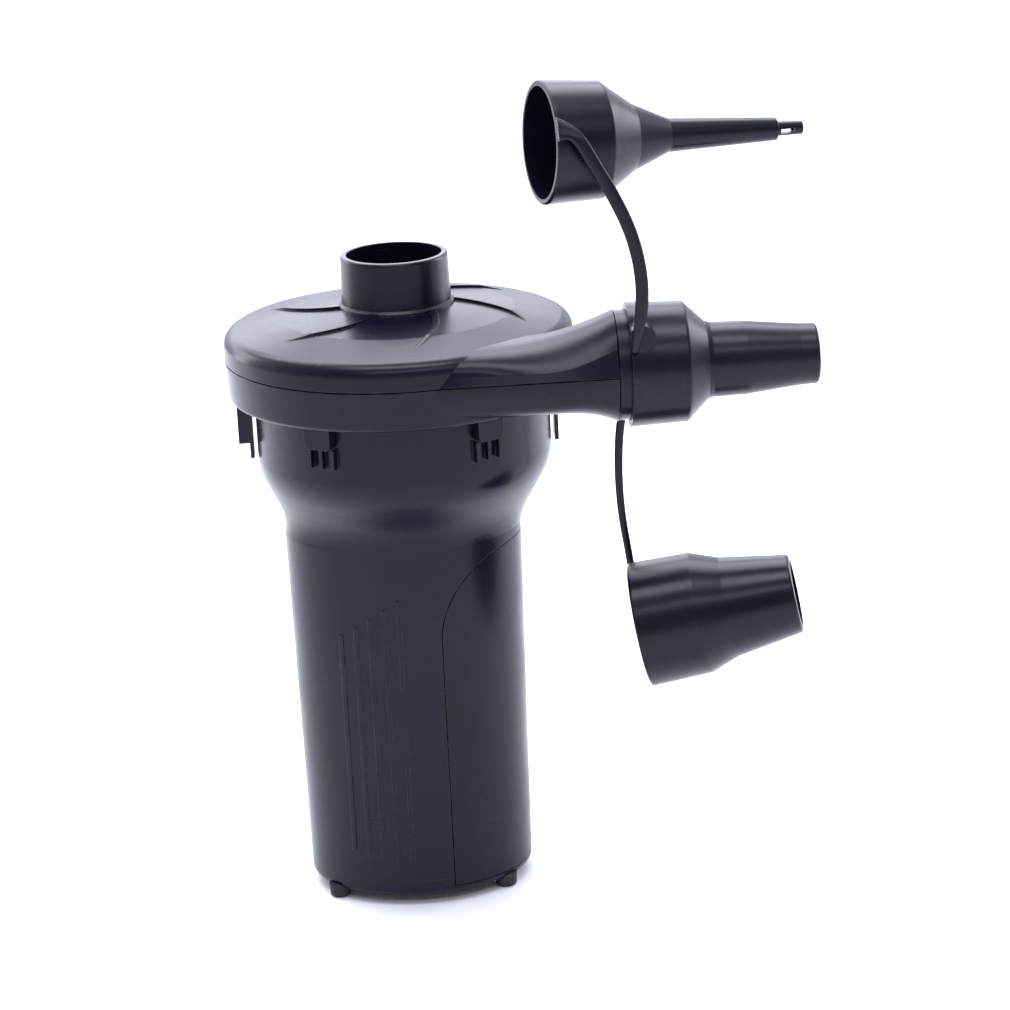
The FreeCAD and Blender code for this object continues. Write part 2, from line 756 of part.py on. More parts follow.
def battery_cradles():
    """Front and back webs with hollow faces that hold the two columns apart."""
    half = s.cell_pitch / 2
    for name, side in (("front", -1), ("back", 1)):
        y = -27.0 if side < 0 else 10.0
        web = box((17, 17, 112), (s.oval_centre - 8.5, y, s.body_foot + s.base_thickness))
        hollows = [cylinder(s.cell_radius + 0.25, 130, (x, 0, 2))
                   for x in (s.oval_centre - half, s.oval_centre + half)]
        node("battery_cradle_" + name, cut(web, *hollows))


def leaf_spring(x, foot, top):
    """A stamped contact leaf: a flat tab under the cell, on two legs bent outwards."""
    height = value_of(top) - value_of(foot)
    corners = [(-7.6, 0), (-2.6, height), (2.6, height), (7.6, 0),
               (6.9, 0), (2.35, height - 0.4), (-2.35, height - 0.4), (-6.9, 0)]
    points = [Vector(across, -3, up) for across, up in corners]
    item = doc.addObject("Part::Feature", "leaf")
    item.Shape = Part.Face(Part.makePolygon(points + points[:1])).extrude(Vector(0, 6, 0))
    return place(item, (x, 0, foot))


def battery_contacts():
    half = s.cell_pitch / 2
    left, right = s.oval_centre - half, s.oval_centre + half
    floor = s.body_foot + s.base_thickness
    link = box((s.cell_pitch + 12, 12, 0.6), (left - 6, -6, floor))
    nub = cylinder(4, s.cell_foot - floor - 0.6, (right, 0, floor + 0.6))
    node("lower_link_plate", fuse(link, nub))
    node("lower_contact_spring", leaf_spring(left, floor + 0.6, s.cell_foot))
    top = s.bulkhead_foot
    cells_top = s.cell_foot + 2 * (s.cell_length + s.cell_button)
    plus = fuse(box((12, 12, 0.5), (left - 6, -6, top - 0.5)),
                cylinder(4, top - cells_top - 0.5, (left, 0, cells_top)))
    node("plus_contact", plus)
    node("minus_contact", fuse(box((12, 12, 0.5), (right - 6, -6, top - 0.5)),
                               cylinder(4, top - cells_top - 0.5, (right, 0, cells_top))))


def bulkhead():
    low = s.bulkhead_foot
    share = shoulder_share(low)
    plate = loft([oval(low, s.body_wall + 0.6, share),
                  oval(low + s.bulkhead_thickness, s.body_wall + 0.6, share)], True)
    slots = [box((2, 5, 6), (x, 8, low - 2)) for x in (-19, 15)]
    node("battery_bulkhead", cut(plate, *slots))


# ---------------------------------------------------------------- motor and fan

def motor():
    top = s.head_bottom + s.wall
    foot = top - s.motor_length
    seat = foot + s.bell_length
    can = turned("can", [
        (3.0, top),
        (s.motor_radius, top),
        (s.motor_radius, seat),
        (s.motor_radius - s.can_wall, seat),
        (s.motor_radius - s.can_wall, top - s.can_wall),
        (3.0, top - s.can_wall),
    ])
    drillings = [cylinder(1.25, 4, (x, 0, top - 3)) for x in (-8, 8)]
    node("motor_can", cut(can, *drillings))
    node("motor_end_bell", turned("bell", [
        (3.0, foot), (s.motor_radius - 1, foot), (s.motor_radius - 1, foot + 0.6),
        (s.motor_radius, foot + 0.6), (s.motor_radius, seat), (3.0, seat),
    ]))
    ring = tube(s.motor_radius - s.can_wall - 0.05, 10.6, 20, (0, 0, seat + 3))
    node("motor_magnets", cut(ring, box((40, 8, 30), (-20, -4, seat))))
    node("front_bearing", tube(3.0, s.shaft_radius + 0.05, 2.6, (0, 0, top - 2.6)))
    node("rear_bearing", tube(3.0, s.shaft_radius + 0.05, 3.0, (0, 0, foot + 0.4)))
    brushes = [box((3, 2, 1.8), (x, -1, seat + 1.2)) for x in (3.55, -6.55)]
    node("carbon_brushes", group(*brushes))
    node("motor_terminals", group(*[box((0.6, 2.4, 2.2), (x, -1.2, foot - 2.2))
                                    for x in (-9.8, 9.2)]))


def motor_mounting():
    plate_foot = s.head_bottom + s.wall
    disc = tube(22, 4.0, 1.5, (0, 0, plate_foot))
    near = [cylinder(1.25, 5, (x, 0, plate_foot - 1)) for x in (-8, 8)]
    far = around((60, 180, 300), 18.5, lambda at, turn: cylinder(
        1.25, 5, (at.x, at.y, plate_foot - 1)))
    node("motor_plate", cut(disc, *(near + far)))
    node("motor_screws", group(*[fuse(
        cylinder(1.25, 4, (x, 0, plate_foot - 2.5)),
        cylinder(2.2, 1.3, (x, 0, plate_foot + 1.5))) for x in (-8, 8)]))
    node("plate_screws", group(*around((60, 180, 300), 18.5, lambda at, turn: fuse(
        cylinder(1.25, 6.5, (at.x, at.y, plate_foot - 5)),
        cylinder(2.4, 1.3, (at.x, at.y, plate_foot + 1.5))))))


def rotor():
    foot = s.head_bottom + s.wall - s.motor_length
    seat = foot + s.bell_length
    node("motor_shaft", cylinder(s.shaft_radius, s.fan_foot + 11 - foot + 0.6, (0, 0, foot - 0.6)))
    core = tube(10.2, s.shaft_radius, 15, (0, 0, seat + 6))
    grooves = around((0, 120, 240), 9.2, lambda at, turn: cylinder(
        2.0, 15, (at.x, at.y, seat + 6)))
    node("armature", cut(core, *grooves))
    windings = [tube(7.6, 2.2, 1.8, (0, 0, seat + 4.2)), tube(7.6, 2.2, 2.2, (0, 0, seat + 21))]
    node("armature_windings", group(*windings))
    node("commutator", tube(3.4, s.shaft_radius, 3.2, (0, 0, seat + 0.6)))


def blade_sketch(body):
    """One backward-curved blade: two arcs about one centre, closed at both ends."""
    inner = Vector(15, 0, 0)
    tip_angle = math.radians(-48)
    tip_radius = s.fan_radius.value - 0.6
    tip = Vector(tip_radius * math.cos(tip_angle), tip_radius * math.sin(tip_angle), 0)
    chord = tip - inner
    radius = 34.0
    middle = (inner + tip) * 0.5
    side = Vector(-chord.y, chord.x, 0).normalize()
    centre = middle - side * math.sqrt(radius ** 2 - (chord.Length / 2) ** 2)
    first = math.atan2(inner.y - centre.y, inner.x - centre.x)
    last = math.atan2(tip.y - centre.y, tip.x - centre.x)
    start, stop = sorted((first, last))
    sketch = body.newObject("Sketcher::SketchObject", "blade_profile")
    origin = [f for f in body.Origin.OriginFeatures if f.Role == "XY_Plane"][0]
    sketch.AttachmentSupport = (origin, [""])
    sketch.MapMode = "FlatFace"
    arcs = []
    for arc_radius in (radius, radius + s.blade_thickness.value):
        circle = Part.Circle(centre, Vector(0, 0, 1), arc_radius)
        arcs.append(Part.ArcOfCircle(circle, start, stop))
        sketch.addGeometry(arcs[-1], False)
    for end in (0, 1):
        ends = [arc.StartPoint if end == 0 else arc.EndPoint for arc in arcs]
        sketch.addGeometry(Part.LineSegment(*ends), False)
    for line, point in ((2, 1), (3, 2)):
        sketch.addConstraint(Sketcher.Constraint("Coincident", 0, point, line, 1))
        sketch.addConstraint(Sketcher.Constraint("Coincident", 1, point, line, 2))
    sketch.addConstraint(Sketcher.Constraint("Coincident", 0, 3, 1, 3))
    sketch.addConstraint(Sketcher.Constraint("DistanceX", -1, 1, 0, 3, centre.x))
    sketch.addConstraint(Sketcher.Constraint("DistanceY", -1, 1, 0, 3, centre.y))
    sketch.addConstraint(Sketcher.Constraint("Radius", 0, radius))
    made = sketch.addConstraint(
        Sketcher.Constraint("Radius", 1, radius + s.blade_thickness.value))
    bind(sketch, "Constraints[%d]" % made, radius + s.blade_thickness)
    return sketch


def impeller():
    body = doc.addObject("PartDesign::Body", "fan")
    profile = outline(body, "fan_profile", "XZ_Plane", [
        (s.shaft_radius, 0),
        (s.fan_radius, 0),
        (s.fan_radius, s.fan_plate),
        (7, s.fan_plate),
        (5, s.fan_plate + 8.5),
        (s.shaft_radius, s.fan_plate + 8.5),
    ])
    disc = body.newObject("PartDesign::Revolution", "fan_disc")
    disc.Profile = profile
    disc.ReferenceAxis = (profile, ["V_Axis"])
    disc.Angle = 360
    blade = body.newObject("PartDesign::Pad", "fan_blade")
    blade.Profile = blade_sketch(body)
    bind(blade, "Length", s.fan_plate + s.blade_height)
    doc.recompute()
    pattern = body.newObject("PartDesign::PolarPattern", "fan_blades")
    pattern.Originals = [blade]
    pattern.Axis = (profile, ["V_Axis"])
    pattern.Angle = 360
    pattern.Occurrences = 9
    body.Tip = pattern
    node("impeller", place(body, (0, 0, s.fan_foot)))


# ---------------------------------------------------------------- nozzles and straps

def nozzle(name, outside, inside, roundings, at, turn):
    """A nozzle turned about its own axis, from the rim of its collar (0) to its tip."""
    return turned(name, outside + inside[::-1], roundings, at, turn)


def collar_socket():
    return [(s.socket_radius, 0), (s.socket_radius, 16.8)]


def medium_nozzle():
    at = (s.collar_start, -s.outlet_offset, s.seam_height)
    collar_end = s.collar_radius - 0.65
    body = nozzle("medium", [
        (s.collar_radius, 0),
        (collar_end, s.collar_length),
        (12.4, 24.7),
        (11.9, 26.2),
        (11.6, 37.0),
        (9.75, 54.0),
        (9.5, 59.9),
    ], collar_socket() + [
        (10.3, 24.0),
        (11.6 - s.nozzle_wall, 37.0),
        (9.75 - s.nozzle_wall, 54.0),
        (9.5 - s.nozzle_wall, 59.9),
    ], [(1.6, collar_end, s.collar_length), (1.1, 9.5, 59.9)], at, AXES["X"])
    front = cylinder(4.2, 8.0, (73.8, -55.9, UPPER_ROOT_HEIGHT), "Y")
    back = cylinder(3.2, 7.1, (73.8, -26.0, LOWER_ROOT_HEIGHT), "Y")
    socket = cylinder(s.socket_radius, 16.8, at, "X")
    node("nozzle_medium", cut(fuse(body, front, back), socket, before_rim()))


def before_rim():
    """The space in front of the medium nozzle's rim, where its bosses are cut flat."""
    return cylinder(30, 6, (s.collar_start - 6, -s.outlet_offset, s.seam_height), "X")


def pin_nozzle():
    turn = Rotation(Vector(0, 0, 1), 13) * Rotation(Vector(0, 1, 0), 92.4)
    body = nozzle("pin", [
        (19.2, 0),
        (18.4, 18.4),
        (15.4, 22.6),
        (10.6, 29.4),
        (5.3, 41.4),
        (3.6, 77.0),
        (2.3, 77.6),
        (2.1, 86.0),
    ], collar_socket() + [
        (13.4, 22.0),
        (8.7, 29.0),
        (3.4, 41.8),
        (1.8, 76.0),
        (1.2, 78.0),
        (1.2, 86.0),
    ], [(0.8, 19.2, 0), (1.2, 18.4, 18.4), (0.5, 2.1, 86.0)], PIN_RIM, turn)
    direction = turn.multVec(Vector(0, 0, 1))
    slot_at = Vector(*PIN_RIM) + direction * 79.0
    slot = box((4.6, 6.0, 1.5), (slot_at.x, slot_at.y - 3.0, slot_at.z - 1.4),
               Rotation(Vector(0, 0, 1), 13))
    return cut(body, slot)


def wide_nozzle():
    turn = Rotation(Vector(0, 0, 1), -7.3) * Rotation(Vector(0, 1, 0), 90 - 10.7)
    return nozzle("wide", [
        (20.2, 0),
        (19.6, 19.8),
        (16.2, 29.1),
        (12.6, 51.1),
    ], collar_socket() + [
        (14.3, 28.6),
        (12.6 - s.nozzle_wall, 51.1),
    ], [(0.8, 20.2, 0), (2.0, 19.6, 19.8), (1.2, 12.6, 51.1)], WIDE_RIM, turn)


PIN_RIM = (46.0, -38.0, 254.6)
WIDE_RIM = (71.5, -38.0, 96.3)
UPPER_ROOT_HEIGHT = 195.2
LOWER_ROOT_HEIGHT = 174.5

# The straps as centre lines, from the collar of the medium nozzle to the nozzle they hold.
UPPER_STRAP = [
    (72.8, -58.3, 195.2),
    (73.9, -58.6, 210.0),
    (71.9, -58.9, 225.4),
    (66.3, -59.0, 240.3),
    (59.4, -58.6, 252.3),
    (50.9, -57.3, 262.0),
]
LOWER_STRAP = [
    (73.8, -17.2, 174.5),
    (69.6, -17.2, 161.0),
    (68.1, -17.0, 146.0),
    (68.4, -16.8, 129.0),
    (70.8, -16.8, 112.0),
    (72.4, -17.6, 99.0),
]


def upper_strap_and_nozzle():
    nozzle_body = pin_nozzle()
    line = cord("upper_strap", UPPER_STRAP, s.strap_radius)
    eye = cylinder(4.4, 3.0, (73.8, -59.2, UPPER_ROOT_HEIGHT), "Y")
    node("upper_strap", cut(fuse(line, eye), nozzle_body, before_rim()))
    node("nozzle_pin", nozzle_body)


def lower_strap_and_nozzle():
    nozzle_body = wide_nozzle()
    line = cord("lower_strap", LOWER_STRAP, s.thin_strap_radius)
    eye = cylinder(3.4, 2.6, (73.8, -18.6, LOWER_ROOT_HEIGHT), "Y")
    node("lower_strap", cut(fuse(line, eye), nozzle_body))
    node("nozzle_wide", nozzle_body)


# ---------------------------------------------------------------- build, check and write

def check_document():
    doc.recompute()
    failed = [o.Label for o in doc.Objects if {"Invalid", "Error"} & set(o.State)]
    if failed:
        raise RuntimeError("failed objects: " + ", ".join(failed))
    for name, item in nodes.items():
        shape = item.Shape
        if shape.isNull() or not shape.isValid() or not shape.Solids:
            raise RuntimeError(name + " has no valid solid")
        print("%-26s %d solid(s) %10.1f mm3" % (name, len(shape.Solids), shape.Volume))


def write_nodes():
    os.makedirs("parts", exist_ok=True)
    for name, item in nodes.items():
        item.Shape.exportStep("parts/%s.step" % name)


for build in (upper_cover, lower_cover, outlet_sleeve, intake_grille, cover_screws, body_shell,
              battery_door, rubber_feet, switch, rating_plate, battery_cells, battery_cradles,
              battery_contacts, bulkhead, motor, motor_mounting, rotor, impeller,
              medium_nozzle, upper_strap_and_nozzle, lower_strap_and_nozzle):
    build()
check_document()
write_nodes()
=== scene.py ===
import json
import math

import bmesh
import bpy
from mathutils import Matrix, Vector


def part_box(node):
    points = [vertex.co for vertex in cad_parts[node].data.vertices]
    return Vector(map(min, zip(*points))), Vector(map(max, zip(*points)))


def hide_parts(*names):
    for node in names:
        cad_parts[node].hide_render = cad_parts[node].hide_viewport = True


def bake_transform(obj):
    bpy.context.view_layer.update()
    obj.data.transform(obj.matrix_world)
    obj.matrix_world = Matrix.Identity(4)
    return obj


# Battery air pump for mattresses: looks, straps, floor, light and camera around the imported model.
# Metres. +Z is up along the fan axis, +X is out of the outlet, and the camera stands on the -Y side.

MM = 0.001

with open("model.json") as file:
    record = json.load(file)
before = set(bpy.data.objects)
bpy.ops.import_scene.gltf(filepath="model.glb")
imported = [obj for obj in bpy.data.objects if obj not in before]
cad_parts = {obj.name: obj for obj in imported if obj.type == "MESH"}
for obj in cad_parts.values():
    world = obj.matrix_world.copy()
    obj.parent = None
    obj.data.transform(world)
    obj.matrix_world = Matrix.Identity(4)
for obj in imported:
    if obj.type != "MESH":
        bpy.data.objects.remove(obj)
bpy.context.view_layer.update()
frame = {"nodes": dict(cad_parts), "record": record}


# ---------------------------------------------------------------- camera

CAMERA_AIM = Vector((0.0317, 0, 0.1280))
CAMERA_DISTANCE = 1.0521
CAMERA_HEIGHT_ANGLE = math.radians(17.22)
CAMERA_SIDE_ANGLE = math.radians(-2.7)
CAMERA_ROLL = math.radians(-2.82)
CAMERA_LENS = 114.06


def add_camera():
    camera = bpy.data.cameras.new("camera")
    camera.sensor_width = 36
    camera.lens = CAMERA_LENS
    camera.clip_end = 100
    holder = bpy.data.objects.new("camera", camera)
    bpy.context.collection.objects.link(holder)
    back = Vector((0, -math.cos(CAMERA_HEIGHT_ANGLE), math.sin(CAMERA_HEIGHT_ANGLE)))
    lift = Matrix.Rotation(math.pi / 2 - CAMERA_HEIGHT_ANGLE, 4, "X")
    roll = Matrix.Rotation(CAMERA_ROLL, 4, "Z")
    around = Matrix.Rotation(CAMERA_SIDE_ANGLE, 4, "Z")
    at = Matrix.Translation(CAMERA_AIM + CAMERA_DISTANCE * back)
    holder.matrix_world = around @ at @ lift @ roll
    bpy.context.scene.camera = holder


# ---------------------------------------------------------------- material nodes

class Finish:
    """One procedural material. Its methods add nodes and return the socket that gives the result."""

    def __init__(self, name):
        self.material = bpy.data.materials.new(name)
        self.material.use_nodes = True
        self.tree = self.material.node_tree
        self.surface = self.tree.nodes["Principled BSDF"]
        self.place = self.add("ShaderNodeTexCoord").outputs["Object"]
        self.normal = None

    def add(self, kind, inputs=(), **settings):
        made = self.tree.nodes.new(kind)
        for name, value in settings.items():
            setattr(made, name, value)
        for name, value in dict(inputs).items():
            self.give(made.inputs[name], value)
        return made

    def give(self, socket, value):
        if isinstance(value, bpy.types.NodeSocket):
            self.tree.links.new(value, socket)
        else:
            socket.default_value = value

    def stretched(self, stretch, turn=(0, 0, 0)):
        mapping = self.add("ShaderNodeMapping", {"Vector": self.place, "Scale": stretch, "Rotation": turn})
        return mapping.outputs["Vector"]

    def noise(self, scale, detail=3.0, rough=0.5, place=None, warp=0.0):
        made = self.add("ShaderNodeTexNoise", {
            "Vector": place or self.place, "Scale": scale, "Detail": detail,
            "Roughness": rough, "Distortion": warp})
        return made.outputs["Fac"]

    def cells(self, scale):
        made = self.add("ShaderNodeTexVoronoi", {"Vector": self.place, "Scale": scale})
        return made.outputs["Distance"]

    def bands(self, scale, direction, warp):
        made = self.add("ShaderNodeTexWave", {
            "Vector": self.place, "Scale": scale, "Distortion": warp, "Detail": 2},
            bands_direction=direction)
        return made.outputs["Fac"]

    def spread(self, value, low, high, to_low=0.0, to_high=1.0):
        made = self.add("ShaderNodeMapRange", {
            "Value": value, "From Min": low, "From Max": high, "To Min": to_low, "To Max": to_high})
        return made.outputs["Result"]

    def sum(self, kind, first, second):
        made = self.add("ShaderNodeMath", operation=kind)
        self.give(made.inputs[0], first)
        self.give(made.inputs[1], second)
        return made.outputs["Value"]

    def blend(self, share, first, second):
        made = self.add("ShaderNodeMix", data_type="RGBA")
        self.give(made.inputs["Factor"], share)
        self.give(made.inputs["A"], (*first, 1) if isinstance(first, tuple) else first)
        self.give(made.inputs["B"], (*second, 1) if isinstance(second, tuple) else second)
        return made.outputs["Result"]

    def rounded(self, radius):
        self.normal = self.add("ShaderNodeBevel", {"Radius": radius}, samples=6).outputs["Normal"]
        return self.normal

    def edges(self, low=0.99, high=0.86):
        """1 on the line along an edge that rounded() softens, and 0 elsewhere."""
        true = self.add("ShaderNodeNewGeometry").outputs["Normal"]
        made = self.add("ShaderNodeVectorMath", operation="DOT_PRODUCT")
        self.give(made.inputs[0], self.normal)
        self.give(made.inputs[1], true)
        return self.spread(made.outputs["Value"], low, high)

    def bump(self, height, distance, strength=1.0):
        inputs = {"Height": height, "Distance": distance, "Strength": strength}
        if self.normal is not None:
            inputs["Normal"] = self.normal
        self.normal = self.add("ShaderNodeBump", inputs).outputs["Normal"]

    def finish(self, colour, roughness, metallic=0.0, reflection=None):
        self.give(self.surface.inputs["Base Color"], colour)
        self.give(self.surface.inputs["Roughness"], roughness)
        self.surface.inputs["Metallic"].default_value = metallic
        if reflection is not None:
            self.surface.inputs["IOR"].default_value = reflection
        if self.normal is not None:
            self.give(self.surface.inputs["Normal"], self.normal)
        return self.material


# ---------------------------------------------------------------- plastics and rubber

HARD_PLASTIC_IOR = 1.32
SOFT_PLASTIC_IOR = 1.34
GRAIN_DEPTH = 0.030 * MM


def moulding(name, dark, light, roughness):
    """Black injection-moulded plastic: spark-eroded grain, clouded colour, edges lightened for wear and as
    painted edge highlight, fine scuffs.
    """
    f = Finish(name)
    f.rounded(0.35 * MM)
    # The edge line, lightened below partly as edge wear and partly as a painted edge highlight.
    rubbed_and_highlit = f.sum("MULTIPLY", f.edges(), f.spread(f.noise(260, 4), 0.42, 0.62))
    cloud = f.spread(f.noise(34, 5, 0.55, warp=0.4), 0.3, 0.7)
    speck = f.spread(f.noise(2400, 2), 0.35, 0.65)
    smear = f.spread(f.noise(14, 6, 0.6, f.stretched((1, 1, 2.6), (0.3, 0.5, 0))), 0.35, 0.68)
    scuff = f.spread(f.noise(90, 3, 0.5, f.stretched((1, 1, 22), (0.4, 1.1, 0.2))), 0.70, 0.76)
    tone = f.blend(cloud, dark, light)
    tone = f.blend(f.sum("MULTIPLY", speck, 0.25), tone, tuple(1.6 * part for part in light))
    # Painted edge highlight together with edge wear: a lighter bluish line along the edges.
    tone = f.blend(f.sum("MULTIPLY", rubbed_and_highlit, 0.5), tone, (0.075, 0.077, 0.095))
    tone = f.blend(f.sum("MULTIPLY", scuff, 0.25), tone, (0.06, 0.061, 0.07))
    rough = f.spread(smear, 0, 1, roughness - 0.05, roughness + 0.06)
    rough = f.sum("ADD", rough, f.sum("MULTIPLY", scuff, 0.08))
    rough = f.sum("SUBTRACT", rough, f.sum("MULTIPLY", rubbed_and_highlit, 0.07))
    grain = f.noise(2600, 3, 0.6)
    f.bump(grain, GRAIN_DEPTH, 0.55)
    f.bump(f.noise(38, 2), 0.08 * MM, 0.3)
    return f.finish(tone, rough, reflection=HARD_PLASTIC_IOR)


def soft_moulding(name, dark, light, roughness):
    """Softer polyethylene of the nozzles and straps: smoother, waxy, with flow lines along the part."""
    f = Finish(name)
    f.rounded(0.4 * MM)
    rubbed_and_highlit = f.sum("MULTIPLY", f.edges(), f.spread(f.noise(300, 4), 0.45, 0.65))
    flow = f.noise(70, 4, 0.55, f.stretched((0.25, 1, 1)), 0.8)
    cloud = f.spread(flow, 0.3, 0.7)
    scuff = f.spread(f.noise(120, 3, 0.5, f.stretched((14, 1, 1), (0.2, 0.3, 0.9))), 0.71, 0.77)
    tone = f.blend(cloud, dark, light)
    # Painted edge highlight together with edge wear: a lighter bluish line along the edges.
    tone = f.blend(f.sum("MULTIPLY", rubbed_and_highlit, 0.4), tone, (0.07, 0.072, 0.085))
    tone = f.blend(f.sum("MULTIPLY", scuff, 0.2), tone, (0.055, 0.056, 0.066))
    rough = f.spread(flow, 0.25, 0.75, roughness - 0.05, roughness + 0.06)
    f.bump(f.noise(1500, 2), 0.02 * MM, 0.4)
    f.bump(flow, 0.12 * MM, 0.35)
    return f.finish(tone, rough, reflection=SOFT_PLASTIC_IOR)


def rubber(name):
    f = Finish(name)
    f.rounded(0.3 * MM)
    dust = f.sum("MULTIPLY", f.spread(f.noise(420, 5, 0.7), 0.48, 0.72), 0.35)
    tone = f.blend(f.spread(f.noise(90, 4), 0.3, 0.7), (0.009, 0.009, 0.010), (0.018, 0.018, 0.020))
    tone = f.blend(dust, tone, (0.06, 0.058, 0.055))
    f.bump(f.cells(1800), 0.05 * MM, 0.5)
    return f.finish(tone, f.spread(f.noise(200, 3), 0.3, 0.7, 0.62, 0.82))


def gloss_plastic(name):
    f = Finish(name)
    f.rounded(0.3 * MM)
    rubbed_and_highlit = f.sum("MULTIPLY", f.edges(), f.spread(f.noise(400, 4), 0.4, 0.6))
    tone = f.blend(f.spread(f.noise(60, 4), 0.3, 0.7), (0.012, 0.012, 0.015), (0.022, 0.022, 0.026))
    # Painted edge highlight together with edge wear: a lighter line along the edges.
    tone = f.blend(f.sum("MULTIPLY", rubbed_and_highlit, 0.5), tone, (0.09, 0.09, 0.1))
    smear = f.spread(f.noise(110, 5, 0.6), 0.35, 0.7, 0.18, 0.33)
    f.bump(f.noise(900, 2), 0.015 * MM, 0.3)
    return f.finish(tone, smear)


def plain_plastic(name, dark, light, roughness):
    """Untextured plastic of the parts inside, with faint flow marks and dust."""
    f = Finish(name)
    f.rounded(0.25 * MM)
    cloud = f.spread(f.noise(55, 5, 0.6, warp=0.6), 0.3, 0.7)
    dust = f.sum("MULTIPLY", f.spread(f.noise(700, 4, 0.7), 0.52, 0.75), 0.3)
    tone = f.blend(cloud, dark, light)
    tone = f.blend(dust, tone, tuple(min(1.0, 1.5 * part + 0.02) for part in light))
    f.bump(f.noise(900, 3), 0.02 * MM, 0.4)
    return f.finish(tone, f.spread(cloud, 0, 1, roughness - 0.06, roughness + 0.06))


def label(name):
    """Blank silver type plate: brushed foil with a thin dark frame of dirt along its edge."""
    f = Finish(name)
    f.rounded(0.3 * MM)
    brushed = f.noise(60, 4, 0.6, f.stretched((1, 1, 40)))
    dirt = f.sum("MULTIPLY", f.edges(0.995, 0.9), 0.7)
    tone = f.blend(f.spread(brushed, 0.3, 0.7), (0.13, 0.135, 0.145), (0.21, 0.215, 0.225))
    tone = f.blend(dirt, tone, (0.05, 0.05, 0.05))
    f.bump(brushed, 0.02 * MM, 0.4)
    return f.finish(tone, f.spread(brushed, 0.3, 0.7, 0.34, 0.48), metallic=0.5)


# ---------------------------------------------------------------- metals

def worked_metal(name, dark, light, roughness, stretch, tarnish):
    """Metal with drawing or turning lines along the stretched axis, tarnish patches and bright edges."""
    f = Finish(name)
    f.rounded(0.2 * MM)
    lines = f.noise(240, 4, 0.65, f.stretched(stretch))
    patch = f.spread(f.noise(130, 5, 0.6), 0.45, 0.75)
    tone = f.blend(f.spread(lines, 0.3, 0.7), dark, light)
    tone = f.blend(f.sum("MULTIPLY", patch, 0.5), tone, tarnish)
    tone = f.blend(f.sum("MULTIPLY", f.edges(), 0.4), tone, tuple(min(1.0, 1.25 * part) for part in light))
    rough = f.sum("ADD", f.spread(lines, 0.3, 0.7, roughness - 0.06, roughness + 0.08),
                  f.sum("MULTIPLY", patch, 0.12))
    f.bump(lines, 0.015 * MM, 0.5)
    return f.finish(tone, rough, metallic=1.0)


def powder_block(name, dark, light, roughness, pore_scale, metallic=0.0):
    """Pressed powder parts, such as ferrite magnets and carbon brushes: pores and dull speckle."""
    f = Finish(name)
    f.rounded(0.2 * MM)
    pores = f.spread(f.cells(pore_scale), 0.0, 0.35)
    tone = f.blend(f.spread(f.noise(pore_scale / 3, 4), 0.3, 0.7), dark, light)
    tone = f.blend(f.sum("SUBTRACT", 1.0, pores), tone, tuple(0.4 * part for part in dark))
    f.bump(pores, 0.05 * MM, 0.5)
    return f.finish(tone, f.spread(pores, 0, 1, roughness + 0.15, roughness), metallic=metallic)


def battery_wrap(name):
    """Printed foil of a cell: dark body, copper-coloured band at the plus end, bare steel at both ends."""
    f = Finish(name)
    f.rounded(0.3 * MM)
    low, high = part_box("battery_cell_left_lower")
    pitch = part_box("battery_cell_left_upper")[0].z - low.z
    height = f.add("ShaderNodeSeparateXYZ", {"Vector": f.place}).outputs["Z"]
    along = f.sum("MODULO", f.sum("SUBTRACT", height, low.z - 0.2 * MM), pitch)
    upper = f.spread(along, 40.6 * MM, 41.0 * MM)
    cap = f.spread(along, 58.4 * MM, 58.6 * MM)
    rim = f.spread(along, 1.4 * MM, 1.2 * MM)
    streak = f.noise(40, 4, 0.5, f.stretched((1, 1, 0.2)))
    body = f.blend(f.spread(streak, 0.3, 0.7), (0.030, 0.034, 0.042), (0.045, 0.050, 0.060))
    band = f.blend(f.spread(streak, 0.3, 0.7), (0.50, 0.25, 0.10), (0.62, 0.34, 0.15))
    steel = f.blend(f.spread(f.noise(300, 3), 0.3, 0.7), (0.50, 0.50, 0.50), (0.66, 0.66, 0.67))
    tone = f.blend(cap, f.blend(upper, body, band), steel)
    tone = f.blend(rim, tone, steel)
    scratch = f.spread(f.noise(100, 3, 0.5, f.stretched((1, 1, 0.06))), 0.70, 0.76)
    tone = f.blend(f.sum("MULTIPLY", scratch, 0.4), tone, (0.5, 0.5, 0.5))
    f.bump(f.noise(500, 3), 0.02 * MM, 0.3)
    return f.finish(tone, f.spread(f.noise(120, 4), 0.3, 0.7, 0.26, 0.4), metallic=0.75)


def winding(name):
    """Enamelled copper wire laid turn on turn."""
    f = Finish(name)
    turns = f.bands(560, "Z", 0.6)
    tone = f.blend(turns, (0.20, 0.055, 0.018), (0.66, 0.27, 0.10))
    tone = f.blend(f.sum("MULTIPLY", f.spread(f.noise(220, 4), 0.5, 0.75), 0.4), tone, (0.25, 0.10, 0.03))
    f.bump(turns, 0.15 * MM, 0.8)
    return f.finish(tone, f.spread(turns, 0, 1, 0.42, 0.24), metallic=0.9)


# ---------------------------------------------------------------- the finish of each material slot

